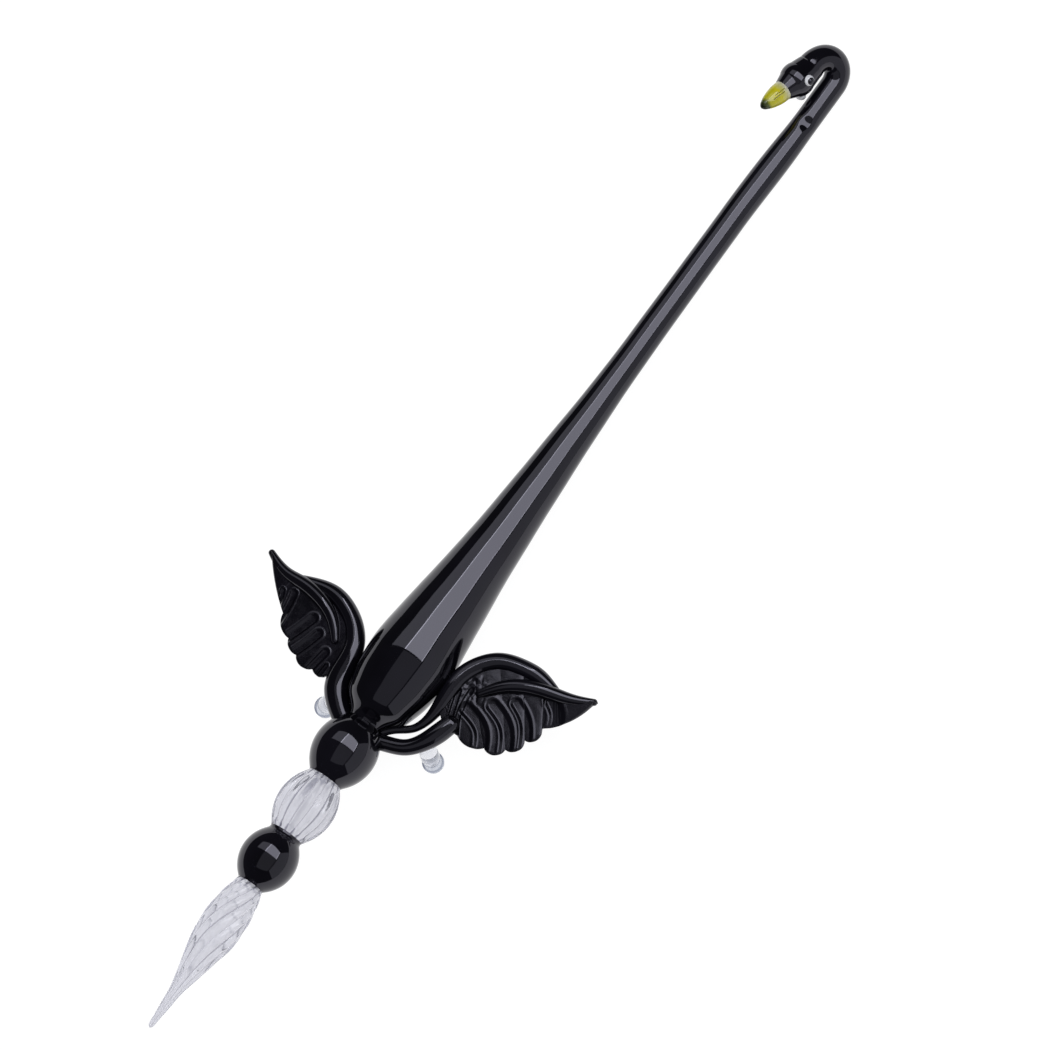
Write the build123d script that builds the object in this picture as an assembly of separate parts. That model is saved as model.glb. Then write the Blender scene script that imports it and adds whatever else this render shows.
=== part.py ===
"""Glass dip pen in the shape of a swan.

A twisted nib, two balls and a fluted bead lead into a body that tapers to a long neck, hooked
at its end, with a small head. Two wings leave the body behind the large ball, and two clear
legs hold the pen off the table.

The pen is built along X from the point of its nib, with +Y to the swan's left and +Z up. It is
then laid down as it rests, on its two feet and the bend of its neck, with the origin on the
table under the middle of the pen.
"""
import math
import os

from build123d import *

os.makedirs("parts", exist_ok=True)

# Places along the pen, from the point of the nib (mm)
NIB_END = 27.5
SMALL_BALL_END = 37.3
BEAD_END = 47.9
WAIST = 58.8
NECK_END = 158.0

# Nib: places and radii along it, and its spiral flutes
NIB_OUTLINE = [
    (0.4, 0.4), (4.8, 0.86), (9.5, 1.64), (14.3, 2.78), (19.1, 3.52), (23.9, 3.2), (NIB_END, 2.3),
]
NIB_FLUTES = 11
NIB_FLUTE_DEPTH = 0.16
NIB_DEEPEST_FLUTE = 0.4
NIB_TWIST = 150
NIB_SECTIONS = 20

# Balls and bead: radii at the two ends and at the middle
SMALL_BALL_RADII = (2.6, 4.62, 3.0)
BEAD_RADII = (3.0, 4.78, 3.0)
LARGE_BALL_RADII = (3.0, 5.2, 2.85)
BEAD_FLUTES = 17
BEAD_FLUTE_RADIUS = 0.42

# Body and neck: places and radii, and the small angle between its axis and the nib's
BODY_OUTLINE = [
    (WAIST - 0.3, 2.7), (61.2, 4.85), (65.3, 6.34), (71.0, 6.94), (76.3, 6.53), (82.7, 5.79),
    (95.4, 4.45), (114.5, 3.16), (136.7, 2.38), (150.0, 2.28), (NECK_END, 2.25),
]
NECK_LEAN = 0.85

# Last stretch of the neck: places and radii, and the slight bend to the right that it makes
NECK_STATIONS = ((163.0, 2.28), (168.0, 2.29), (172.5, 2.2), (176.0, 2.08), (179.0, 2.05))
BEND_END = 179.0
BEND_SHIFT = 0.43

# Hook at the end of the neck: a half turn that leans over to the left as it rises
ARCH_RADIUS = 2.6
ARCH_REACH = 3.15
ARCH_START = 184.65
ARCH_TILT = 45
ARCH_STEP = 30
HOOK_RADIUS = 2.06
ARCH_SIDEWAYS = Vector(0, math.cos(math.radians(ARCH_TILT)), math.sin(math.radians(ARCH_TILT)))
ARCH_ACROSS = Vector(0, -math.sin(math.radians(ARCH_TILT)), math.cos(math.radians(ARCH_TILT)))

# Head, beak and eyes
HEAD_RADIUS = 2.85
HEAD_BACK = 183.0
HEAD_CENTRE = Vector(181.7, 3.73, 3.95)
FACE_RADIUS = 2.35
FACE_START = 1.6
BEAK_START = 3.2
BEAK_PITCH = 20
BEAK_YAW = 9
BEAK_PLACES = (0, 2.6, 4.2)
BEAK_RADII = (1.68, 1.4, 0.75)
EYE_RADIUS = 0.9
EYE_REACH = 2.6
PUPIL_RADIUS = 0.7
PUPIL_REACH = 0.32
EYE_DIRECTIONS = {"left": (0.2, -0.79, 0.58), "right": (-0.55, -0.55, -0.63)}
PUPIL_DIRECTIONS = {"left": (0.0, -0.8, 0.6), "right": (-0.1, -0.6, -0.79)}

# Wings, seen from above. The spine is the middle of the cane that leaves the body and, from its
# joint on, is rolled along the front of the wing. Feathers are the round ends of the blade.
WING_THICKNESS = 1.4
RIDGE_HEIGHT = 0.85
SPINE_JOINT = 4
WINGS = {
    "left": {
        "spine": [
            (56.9, 2.0), (58.0, 3.9), (59.5, 5.8), (61.6, 7.4), (65.0, 8.0), (68.5, 8.7), (70.8, 10.4),
            (72.5, 13.0), (73.4, 16.0), (72.8, 20.3), (72.3, 24.0), (73.7, 28.5),
        ],
        "spine_radii": [1.6, 1.75, 1.9, 2.0, 1.8, 1.55, 1.5, 1.5, 1.45, 1.25, 1.05, 0.8],
        "ridge": [(66.7, 11.2), (69.8, 14.2), (71.3, 18.0), (71.5, 22.0)],
        "feathers": [
            ((73.7, 28.5), (70.1, 25.4), (66.6, 21.4)), ((66.6, 21.4), (64.6, 20.4), (63.7, 18.3)),
            ((63.7, 18.3), (62.4, 17.3), (62.1, 15.7)), ((62.1, 15.7), (61.0, 14.2), (61.6, 12.2)),
            ((61.6, 12.2), (61.1, 11.2), (61.4, 9.9)),
        ],
        "inner_edge": [(61.4, 9.9), (62.7, 9.0), (65.0, 8.0)],
    },
    "right": {
        "spine": [
            (58.7, -2.7), (60.6, -4.6), (62.15, -6.75), (64.4, -7.95), (67.9, -8.3), (72.6, -8.4),
            (76.2, -9.9), (78.5, -12.3), (79.6, -15.8), (79.6, -18.8), (79.1, -22.0), (79.5, -25.3),
            (81.1, -28.7),
        ],
        "spine_radii": [0.65, 0.65, 0.65, 0.8, 1.2, 1.5, 1.5, 1.5, 1.45, 1.4, 1.2, 1.0, 0.8],
        "ridge": [(72.9, -12.5), (75.6, -15.5), (77.4, -19.3), (78.0, -23.4)],
        "feathers": [
            ((81.1, -28.7), (77.0, -27.3), (73.2, -23.9)), ((73.2, -23.9), (71.4, -24.4), (70.2, -22.7)),
            ((70.2, -22.7), (68.2, -22.8), (67.3, -21.0)), ((67.3, -21.0), (65.6, -20.1), (65.7, -18.0)),
            ((65.7, -18.0), (64.6, -16.3), (65.1, -13.3)),
        ],
        "inner_edge": [(65.1, -13.3), (65.5, -10.2), (67.9, -8.3)],
    },
}
RIDGE_RADII = [0.6, 0.95, 0.95, 0.6]
OUTER_STEM = [(57.3, -2.2), (58.1, -4.9), (59.15, -7.5), (60.9, -9.25), (63.6, -10.7), (67.4, -11.9)]
OUTER_STEM_RADII = [1.3, 1.3, 1.3, 1.4, 1.6, 1.4]

# Legs: where each leaves its stem and where its foot stands, below the pen's axis
LEGS = {
    "left": {"top": (59.9, 6.3, -0.4), "foot": (59.5, 9.9)},
    "right": {"top": (61.3, -9.6, -0.4), "foot": (61.3, -9.7)},
}
FOOT_DEPTH = 11.9
LEG_RADII = (1.15, 1.5, 1.4)
PAD_RADIUS = 1.75
PAD_THICKNESS = 1.3
PAD_ROUNDING = 0.35
REST_SLOPE = 4.4


def turned(profile):
    """Solid turned about X from an open outline above it."""
    first = profile @ 0
    last = profile @ 1
    foot = Line((first.X, 0), (first.X, first.Y))
    end = Line((last.X, last.Y), (last.X, 0))
    axis = Line((last.X, 0), (first.X, 0))
    return revolve(make_face(Curve() + [foot, profile, end, axis]), Axis.X)


def barrel_arc(start, end, radii):
    """Round outline between two places, from the radii at its start, middle and end."""
    return ThreePointArc((start, radii[0]), ((start + end) / 2, radii[1]), (end, radii[2]))


def tube_sections(path, points, radii):
    """Round sections across a level path, with a radius at each of its points."""
    sections = []
    for point, radius in zip(points, radii):
        tangent = path.tangent_at(path.param_at_point(Vector(point)))
        sections.append(Plane(origin=point, x_dir=(0, 0, 1), z_dir=tangent) * Circle(radius))
    return sections


def tube(points, radii):
    """Round tube through points, with its radius at each of them."""
    return loft(tube_sections(Spline(*points), points, radii))


def nib_section(place, radius):
    """Fluted section of the nib, turned as far as the spiral has got at its place."""
    turn = NIB_TWIST * (place / NIB_END) ** 2
    depth = min(NIB_FLUTE_DEPTH * radius, NIB_DEEPEST_FLUTE)
    points = []
    for i in range(2 * NIB_FLUTES):
        angle = math.radians(180 * i / NIB_FLUTES + turn)
        reach = radius - depth * (i % 2)
        points.append((reach * math.cos(angle), reach * math.sin(angle)))
    return Plane.YZ.offset(place) * make_face(Polyline(*points, close=True))


def make_nib():
    """Nib with spiral flutes that run out at a round point."""
    outline = Spline(*NIB_OUTLINE)
    stations = [outline @ (i / NIB_SECTIONS) for i in range(NIB_SECTIONS + 1)]
    shank = loft([nib_section(station.X, station.Y) for station in stations], ruled=True)
    tip_place, tip_radius = NIB_OUTLINE[0]
    return shank + Pos(tip_place, 0, 0) * Sphere(tip_radius)


def make_bead():
    """Bead with straight flutes from end to end."""
    outline = barrel_arc(SMALL_BALL_END, BEAD_END, BEAD_RADII)
    start = Plane(origin=outline @ 0, z_dir=outline % 0)
    cutter = sweep(start * Circle(BEAD_FLUTE_RADIUS), path=outline)
    bead = turned(outline)
    for i in range(BEAD_FLUTES):
        bead -= Rot(360 * i / BEAD_FLUTES, 0, 0) * cutter
    return bead


def bent_section(place, radius):
    """Round section of the last stretch of the neck, shifted by the neck's bend."""
    share = min((place - NECK_END) / (BEND_END - NECK_END), 1)
    side = BEND_SHIFT * (1 - math.cos(math.pi * share)) / 2
    return Plane(origin=(place, -side, 0), x_dir=ARCH_ACROSS, z_dir=(1, 0, 0)) * Circle(radius)


def arch_section(turn):
    """Round section of the half turn, from its turn in degrees."""
    angle = math.radians(turn)
    place = ARCH_START + ARCH_REACH * math.sin(angle)
    side = ARCH_RADIUS * (1 - math.cos(angle))
    heading = math.atan2(ARCH_RADIUS * math.sin(angle), ARCH_REACH * math.cos(angle))
    origin = Vector(place, -BEND_SHIFT, 0) + ARCH_SIDEWAYS * side
    way = Vector(math.cos(heading), 0, 0) + ARCH_SIDEWAYS * math.sin(heading)
    return Plane(origin=origin, x_dir=ARCH_ACROSS, z_dir=way) * Circle(HOOK_RADIUS)


def make_hook():
    """Last stretch of the neck, its half turn and the short stretch that meets the head."""
    neck = [bent_section(*BODY_OUTLINE[-1])] + [bent_section(*station) for station in NECK_STATIONS]
    arch = loft([arch_section(turn) for turn in range(0, 181, ARCH_STEP)])
    head_radius = math.sqrt(HEAD_RADIUS**2 - (HEAD_BACK - HEAD_CENTRE.X) ** 2)
    head_back = Plane(origin=(HEAD_BACK, HEAD_CENTRE.Y, HEAD_CENTRE.Z), x_dir=ARCH_ACROSS, z_dir=(-1, 0, 0))
    after = loft([arch_section(180), head_back * Circle(head_radius)], ruled=True)
    return loft(neck + [arch_section(0)]) + arch + after


def aimed(yaw, pitch):
    """Unit vector that looks back along the pen, yawed to the left and pitched up."""
    level = math.cos(math.radians(pitch))
    back = -math.cos(math.radians(yaw)) * level
    return Vector(back, math.sin(math.radians(yaw)) * level, math.sin(math.radians(pitch)))


def make_head():
    """Round head, flat where it meets the hook, that narrows to the root of the beak."""
    head = Pos(HEAD_CENTRE) * Sphere(HEAD_RADIUS)
    front_of_hook = split(head, bisect_by=Plane.YZ.offset(HEAD_BACK), keep=Keep.BOTTOM)
    face = Plane(origin=HEAD_CENTRE, z_dir=aimed(BEAK_YAW, BEAK_PITCH))
    root = face.offset(BEAK_START) * Circle(BEAK_RADII[0])
    return front_of_hook + loft([face.offset(FACE_START) * Circle(FACE_RADIUS), root])


def make_beak():
    """Tapering beak with a round tip."""
    base = Plane(origin=HEAD_CENTRE, z_dir=aimed(BEAK_YAW, BEAK_PITCH)).offset(BEAK_START)
    sections = [base.offset(place) * Circle(radius) for place, radius in zip(BEAK_PLACES, BEAK_RADII)]
    return loft(sections) + Pos(base.offset(BEAK_PLACES[-1]).origin) * Sphere(BEAK_RADII[-1])


def make_eye(side, head, hook):
    """White of an eye, a ball half sunk in the head, and the pupil that caps it."""
    centre = HEAD_CENTRE + Vector(EYE_DIRECTIONS[side]).normalized() * EYE_REACH
    gaze = Vector(PUPIL_DIRECTIONS[side]).normalized() * PUPIL_REACH
    pupil = Pos(centre + gaze) * Sphere(PUPIL_RADIUS)
    return Pos(centre) * Sphere(EYE_RADIUS) - head - hook - pupil, pupil - head - hook


def level(points, height=0.0):
    """Points of a level line at a height over the pen's axis."""
    return [(x, y, height) for x, y in points]


def wing_blade(wing, spine):
    """Flat part of a wing, from the middle of its roll to the rounded ends of its feathers."""
    joint = spine.param_at_point(Vector(*wing["spine"][SPINE_JOINT]))
    edges = [spine.trim(joint, 1)]
    edges += [ThreePointArc(*lobe) for lobe in wing["feathers"]]
    edges += [Line(a, b) for a, b in zip(wing["inner_edge"], wing["inner_edge"][1:])]
    return extrude(make_face(Curve() + edges), WING_THICKNESS / 2, both=True)


def cut_back(shape, neighbours):
    """Shape without what its neighbours take up."""
    for neighbour in neighbours:
        shape -= neighbour
    return shape


def make_wing(side, around):
    """Pieces of one wing, each cut where it meets the ones before it."""
    wing = WINGS[side]
    spine = Spline(*level(wing["spine"]))
    sections = tube_sections(spine, level(wing["spine"]), wing["spine_radii"])
    cane = cut_back(loft(sections[:SPINE_JOINT + 1]), around)
    roll = cut_back(loft(sections[SPINE_JOINT:]), around)
    pieces = {"stem": cane, "leading_roll": roll}
    if side == "right":
        outer = tube(level(OUTER_STEM), OUTER_STEM_RADII)
        pieces = {"stem": cut_back(outer, [*around, cane, roll]), "inner_strand": cane, "leading_roll": roll}
    pieces["ridge"] = cut_back(tube(level(wing["ridge"], RIDGE_HEIGHT), RIDGE_RADII), pieces.values())
    pieces["blade"] = cut_back(wing_blade(wing, spine), [*around, *pieces.values()])
    return pieces


def make_leg(side, rest, stem):
    """Leg and foot pad of one side, upright on the table."""
    top = (rest * Location(LEGS[side]["top"])).position
    foot = (rest * Location((*LEGS[side]["foot"], -FOOT_DEPTH))).position
    ankle = Vector(foot.X, foot.Y, PAD_THICKNESS)
    knee = (top + ankle) / 2
    sections = [Plane(origin=place) * Circle(radius) for place, radius in zip((top, knee, ankle), LEG_RADII)]
    leg = loft(sections) - stem
    pad = Pos(foot.X, foot.Y, PAD_THICKNESS / 2) * Cylinder(PAD_RADIUS, PAD_THICKNESS)
    pad = fillet(pad.edges().filter_by(GeomType.CIRCLE), PAD_ROUNDING)
    return leg, pad


def make_pen():
    """All the pieces that lie along the pen, in the pen's own axes."""
    at_waist = Location((WAIST, 0, 0), (0, 0, -NECK_LEAN)) * Location((-WAIST, 0, 0))
    head = make_head()
    hook = make_hook()
    leaning = {
        "body_and_neck": turned(Spline(*BODY_OUTLINE)),
        "neck_hook": hook,
        "head": head,
        "beak": make_beak(),
    }
    for side in ("left", "right"):
        leaning[side + "_eye_white"], leaning[side + "_pupil"] = make_eye(side, head, hook)
    pieces = {name: at_waist * piece for name, piece in leaning.items()}
    waist_plane = Plane.YZ.offset(WAIST)
    pieces["body_and_neck"] = split(pieces["body_and_neck"], bisect_by=waist_plane, keep=Keep.TOP)
    pieces["nib"] = make_nib()
    pieces["small_ball"] = turned(barrel_arc(NIB_END, SMALL_BALL_END, SMALL_BALL_RADII))
    pieces["fluted_bead"] = make_bead()
    pieces["large_ball"] = turned(barrel_arc(BEAD_END, WAIST, LARGE_BALL_RADII))
    return pieces


def add_wings(pieces):
    """Wings, cut where they meet the body and the large ball."""
    neighbours = [pieces["body_and_neck"], pieces["large_ball"]]
    for side in WINGS:
        for name, piece in make_wing(side, neighbours).items():
            pieces[f"{side}_wing_{name}"] = piece


def main():
    pieces = make_pen()
    add_wings(pieces)
    slope = Rot(0, REST_SLOPE, 0)
    rest = Pos(0, 0, -(slope * pieces["neck_hook"]).bounding_box().min.Z) * slope
    pieces = {name: rest * piece for name, piece in pieces.items()}
    for side in LEGS:
        leg, pad = make_leg(side, rest, pieces[side + "_wing_stem"])
        pieces[side + "_leg"] = leg
        pieces[side + "_foot_pad"] = pad
    middle = Compound(list(pieces.values())).bounding_box().center()
    for name, piece in pieces.items():
        export_step(Pos(-middle.X, -middle.Y, 0) * piece, f"parts/{name}.step")


main()
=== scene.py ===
import math

import bpy
import numpy as np
from mathutils import Matrix, Vector, noise


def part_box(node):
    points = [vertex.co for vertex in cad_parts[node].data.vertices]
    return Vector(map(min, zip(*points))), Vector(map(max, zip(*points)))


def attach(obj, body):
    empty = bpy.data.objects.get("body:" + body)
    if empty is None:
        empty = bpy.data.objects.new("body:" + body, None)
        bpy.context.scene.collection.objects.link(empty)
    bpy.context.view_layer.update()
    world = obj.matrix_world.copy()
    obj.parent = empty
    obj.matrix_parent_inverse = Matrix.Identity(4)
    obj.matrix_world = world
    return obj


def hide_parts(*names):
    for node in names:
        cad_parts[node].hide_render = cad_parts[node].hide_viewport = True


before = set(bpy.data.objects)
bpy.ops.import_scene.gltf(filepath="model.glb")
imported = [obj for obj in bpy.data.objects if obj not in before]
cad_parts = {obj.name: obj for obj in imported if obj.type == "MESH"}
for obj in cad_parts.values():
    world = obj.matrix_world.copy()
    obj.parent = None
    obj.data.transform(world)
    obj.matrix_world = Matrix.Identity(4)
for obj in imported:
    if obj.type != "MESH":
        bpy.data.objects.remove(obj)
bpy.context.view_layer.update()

# ---------------------------------------------------------------------------------------------
# The pen's own axes, in millimetres: X from the nib's point along the pen, Y to the swan's left,
# Z up. PEN carries them to the frame, where the pen rests on its feet and the bend of its neck.
# ---------------------------------------------------------------------------------------------
MM = 0.001
REST_SLOPE = math.radians(4.4)
NECK_LEAN = math.radians(-0.85)
NIB_END = 27.5
SMALL_BALL_END = 37.3
BEAD_END = 47.9
WAIST = 58.8
NECK_END = 158.0


def pen_matrix():
    """Turn and shift from the pen's own axes to the frame, read from the CAD boxes."""
    ball_low, ball_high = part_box("small_ball")
    middle = (Vector(ball_low) + Vector(ball_high)) / 2
    turn = Matrix.Rotation(REST_SLOPE, 4, "Y")
    ball_place = turn @ Vector(((NIB_END + SMALL_BALL_END) / 2 * MM, 0, 0))
    nib_low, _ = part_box("nib")
    origin = Vector((nib_low[0], middle.y, middle.z - ball_place.z))
    return Matrix.Translation(origin) @ turn @ Matrix.Scale(MM, 4)


PEN = pen_matrix()
TO_WAIST = Matrix.Translation((WAIST, 0, 0))
LEAN = TO_WAIST @ Matrix.Rotation(NECK_LEAN, 4, "Z") @ TO_WAIST.inverted()


# ---------------------------------------------------------------------------------------------
# Curves and skins
# ---------------------------------------------------------------------------------------------
def smoothstep(low, high, value):
    """Smooth rise from 0 at low to 1 at high."""
    t = np.clip((np.asarray(value, float) - low) / (high - low), 0, 1)
    return t * t * (3 - 2 * t)


def quarter_round(share, least):
    """Height of a quarter circle at a share of its width. Least is the square of its lowest height."""
    return np.sqrt(np.maximum(1 - (1 - np.clip(share, 0, 1)) ** 2, least))


def angles_around(count):
    """Evenly spaced angles over a full turn."""
    return np.linspace(0, 2 * math.pi, count, endpoint=False)


def cubic(knots, values, places):
    """Natural cubic spline through values (one row for each knot), read at the places."""
    knots = np.asarray(knots, float)
    values = np.asarray(values, float)
    if values.ndim == 1:
        return cubic(knots, values[:, None], places)[:, 0]
    step = np.diff(knots)
    count = len(knots)
    system = np.eye(count)
    right = np.zeros_like(values)
    for i in range(1, count - 1):
        system[i, i - 1:i + 2] = step[i - 1], 2 * (step[i - 1] + step[i]), step[i]
        slopes = np.diff(values[i - 1:i + 2], axis=0) / step[i - 1:i + 1, None]
        right[i] = 6 * (slopes[1] - slopes[0])
    bend = np.linalg.solve(system, right)
    at = np.clip(np.searchsorted(knots, places) - 1, 0, count - 2)
    h = step[at, None]
    a = (knots[at + 1] - places)[:, None] / h
    b = (places - knots[at])[:, None] / h
    cubic_part = (a**3 - a) * bend[at] + (b**3 - b) * bend[at + 1]
    return a * values[at] + b * values[at + 1] + cubic_part * h**2 / 6


def curve_through(points, count):
    """Evenly spaced points on a smooth curve through the given ones."""
    points = np.asarray(points, float)
    chords = np.concatenate([[0], np.cumsum(np.linalg.norm(np.diff(points, axis=0), axis=1))])
    return cubic(chords, points, np.linspace(0, chords[-1], count))


def arc_through(start, middle, end, count):
    """Points on the circle arc through three plan points."""
    a, b, c = (np.asarray(p, float) for p in (start, middle, end))
    rows = 2 * np.array([b - a, c - a])
    centre = np.linalg.solve(rows, [b @ b - a @ a, c @ c - a @ a])
    angles = [math.atan2(*(p - centre)[::-1]) for p in (a, b, c)]
    turn = (angles[2] - angles[0]) % (2 * math.pi)
    if (angles[1] - angles[0]) % (2 * math.pi) > turn:
        turn -= 2 * math.pi
    swept = angles[0] + np.linspace(0, turn, count)
    return centre + np.linalg.norm(a - centre) * np.stack([np.cos(swept), np.sin(swept)], axis=1)


def make_object(name, points, faces, matrix):
    """Smooth-shaded mesh from points in millimetres and faces, carried to the frame."""
    mesh = bpy.data.meshes.new(name)
    mesh.from_pydata([matrix @ Vector(p) for p in points], [], faces)
    mesh.validate()
    mesh.polygons.foreach_set("use_smooth", [True] * len(mesh.polygons))
    made = bpy.data.objects.new(name, mesh)
    bpy.context.scene.collection.objects.link(made)
    return made


def skin(name, rings, matrix=PEN):
    """Closed skin over rings of equal size, with a fan of triangles at each end."""
    rings = np.asarray(rings, float)
    rows, around = rings.shape[:2]
    points = rings.reshape(-1, 3).tolist()
    faces = []
    for i in range(rows - 1):
        for j in range(around):
            k = (j + 1) % around
            here = i * around
            next_row = here + around
            faces.append((here + j, here + k, next_row + k, next_row + j))
    first = len(points)
    points.append(rings[0].mean(axis=0).tolist())
    points.append(rings[-1].mean(axis=0).tolist())
    last_row = (rows - 1) * around
    for j in range(around):
        k = (j + 1) % around
        faces.append((first, k, j))
        faces.append((first + 1, last_row + j, last_row + k))
    made = make_object(name, points, faces, matrix)
    outward_faces(made)
    sharpen_rings(made, around, last_row)
    return made


def write_values(made, name, values):
    """Stores a number for each point of a skin. The middles of its two ends repeat the nearest one."""
    values = np.ravel(values)
    values = np.append(values, (values[0], values[-1]))
    made.data.attributes.new(name, "FLOAT", "POINT").data.foreach_set("value", values)


def sharpen_rings(made, around, last_row):
    """Marks the first and last rings sharp, so that an end face doesn't shade the side."""
    edges = made.data.edges
    ends = np.zeros(len(edges) * 2, int)
    edges.foreach_get("vertices", ends)
    low, high = np.sort(ends.reshape(-1, 2), axis=1).T
    sharp = (high < around) | ((low >= last_row) & (high < last_row + around))
    marks = made.data.attributes.new("sharp_edge", "BOOLEAN", "EDGE")
    marks.data.foreach_set("value", sharp)


def outward_faces(made):
    """Turns the faces outward on a closed mesh that may have been wound inward."""
    mesh = made.data
    volume = 0.0
    for face in mesh.polygons:
        corners = [mesh.vertices[i].co for i in face.vertices]
        for b, c in zip(corners[1:], corners[2:]):
            volume += corners[0].dot(b.cross(c))
    if volume < 0:
        mesh.flip_normals()


def turned_rings(places, radii, around, wobble):
    """Rings about the pen's axis. The wobble function multiplies a radius, by place and angle."""
    angle = angles_around(around)
    rings = []
    for place, radius in zip(places, radii):
        reach = radius * wobble(place, angle)
        across = (reach * np.cos(angle), reach * np.sin(angle))
        rings.append(np.stack([np.full(around, place), *across], axis=1))
    return rings


def tube_rings(path, radii, around, up=(0, 0, 1)):
    """Rings across a path. Up is any direction that the path never runs in."""
    path = np.asarray(path, float)
    tangents = np.gradient(path, axis=0)
    tangents /= np.linalg.norm(tangents, axis=1)[:, None]
    angle = angles_around(around)
    rings = []
    for point, tangent, radius in zip(path, tangents, radii):
        side = np.cross(up, tangent)
        side /= np.linalg.norm(side)
        lift = np.cross(tangent, side)
        circle = np.outer(np.cos(angle), side) + np.outer(np.sin(angle), lift)
        rings.append(point + radius * circle)
    return rings


def rounded_ends(radii, spacing, start, end):
    """Radii that fall to nearly nothing over one radius at each end, as a drawn tip does."""
    radii = np.asarray(radii, float).copy()
    along = np.arange(len(radii)) * spacing
    for used, distance, full in ((start, along, radii[0]), (end, along[-1] - along, radii[-1])):
        if used:
            radii *= quarter_round(distance / full, 0.0025)
    return radii


# ---------------------------------------------------------------------------------------------
# Materials
# ---------------------------------------------------------------------------------------------
BEAK_ATTRIBUTE = "beak_length"
# Mesh attribute that carries the painted shade lines on the clear glass
SHADE_LINE_ATTRIBUTE = "line"
NOISE_LOW = 0.35
NOISE_HIGH = 0.7


def new_material(name, color, roughness, ior=1.5):
    """Material with a Principled shader, and its node tree and shader."""
    material = bpy.data.materials.new(name)
    material.use_nodes = True
    shader = material.node_tree.nodes["Principled BSDF"]
    shader.inputs["Base Color"].default_value = (*color, 1)
    shader.inputs["Roughness"].default_value = roughness
    shader.inputs["IOR"].default_value = ior
    return material, material.node_tree, shader


def pen_noise(tree, stretch, scale, detail):
    """Noise in the frame's own axes, drawn out along the pen by stretch."""
    coordinates = tree.nodes.new("ShaderNodeTexCoord")
    mapping = tree.nodes.new("ShaderNodeMapping")
    mapping.inputs["Rotation"].default_value = (0, -REST_SLOPE, 0)
    mapping.inputs["Scale"].default_value = (1 / stretch, 1, 1)
    texture = tree.nodes.new("ShaderNodeTexNoise")
    texture.inputs["Scale"].default_value = scale
    texture.inputs["Detail"].default_value = detail
    tree.links.new(coordinates.outputs["Object"], mapping.inputs["Vector"])
    tree.links.new(mapping.outputs["Vector"], texture.inputs["Vector"])
    return texture


def add_roughness(tree, shader, texture, low, high):
    """Roughness that varies between two values with the noise."""
    spread = tree.nodes.new("ShaderNodeMapRange")
    spread.inputs["From Min"].default_value = NOISE_LOW
    spread.inputs["From Max"].default_value = NOISE_HIGH
    spread.inputs["To Min"].default_value = low
    spread.inputs["To Max"].default_value = high
    tree.links.new(texture.outputs["Fac"], spread.inputs["Value"])
    tree.links.new(spread.outputs["Result"], shader.inputs["Roughness"])


def add_bumps(tree, shader, layers):
    """Chain of bumps: each layer is a noise, a strength and a depth in metres."""
    below = None
    for texture, strength, depth in layers:
        bump = tree.nodes.new("ShaderNodeBump")
        bump.inputs["Strength"].default_value = strength
        bump.inputs["Distance"].default_value = depth
        tree.links.new(texture.outputs["Fac"], bump.inputs["Height"])
        if below is not None:
            tree.links.new(below.outputs["Normal"], bump.inputs["Normal"])
        below = bump
    tree.links.new(below.outputs["Normal"], shader.inputs["Normal"])


def add_ramp(tree, shader, value, stops):
    """Base colour from a value, by stops of a position and a colour."""
    ramp = tree.nodes.new("ShaderNodeValToRGB")
    points = ramp.color_ramp.elements
    for i, (position, color) in enumerate(stops):
        point = points[i] if i < len(points) else points.new(position)
        point.position = position
        point.color = (*color, 1)
    tree.links.new(value, ramp.inputs["Fac"])
    tree.links.new(ramp.outputs["Color"], shader.inputs["Base Color"])


def add_color(tree, shader, texture, dark, light):
    """Base colour between two tones by the noise."""
    add_ramp(tree, shader, texture.outputs["Fac"], [(NOISE_LOW, dark), (NOISE_HIGH, light)])


def attribute_with_noise(tree, attribute, texture, amount):
    """Value of a mesh attribute plus an amount of the noise."""
    stored = tree.nodes.new("ShaderNodeAttribute")
    stored.attribute_name = attribute
    both = tree.nodes.new("ShaderNodeMath")
    both.operation = "MULTIPLY_ADD"
    both.inputs[1].default_value = amount
    tree.links.new(texture.outputs["Fac"], both.inputs[0])
    tree.links.new(stored.outputs["Fac"], both.inputs[2])
    return both


def black_glass(name, ripple, stretch, roughness=(0.025, 0.075), ior=1.52):
    """Near-black violet glass. Ripple is how uneven its hot-worked surface is."""
    material, tree, shader = new_material(name, (0.003, 0.0028, 0.0045), roughness=0.04, ior=ior)
    shader.inputs["Specular Tint"].default_value = (0.88, 0.86, 1.0, 1)
    streaks = pen_noise(tree, stretch, scale=900, detail=3)
    waves = pen_noise(tree, stretch / 2, scale=260, detail=1)
    clouds = pen_noise(tree, stretch=1, scale=120, detail=2)
    add_color(tree, shader, clouds, dark=(0.002, 0.0018, 0.003), light=(0.005, 0.0045, 0.0075))
    add_roughness(tree, shader, streaks, *roughness)
    add_bumps(tree, shader, [(waves, ripple, 0.0002), (streaks, ripple * 0.5, 0.00004)])
    return material


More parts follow.
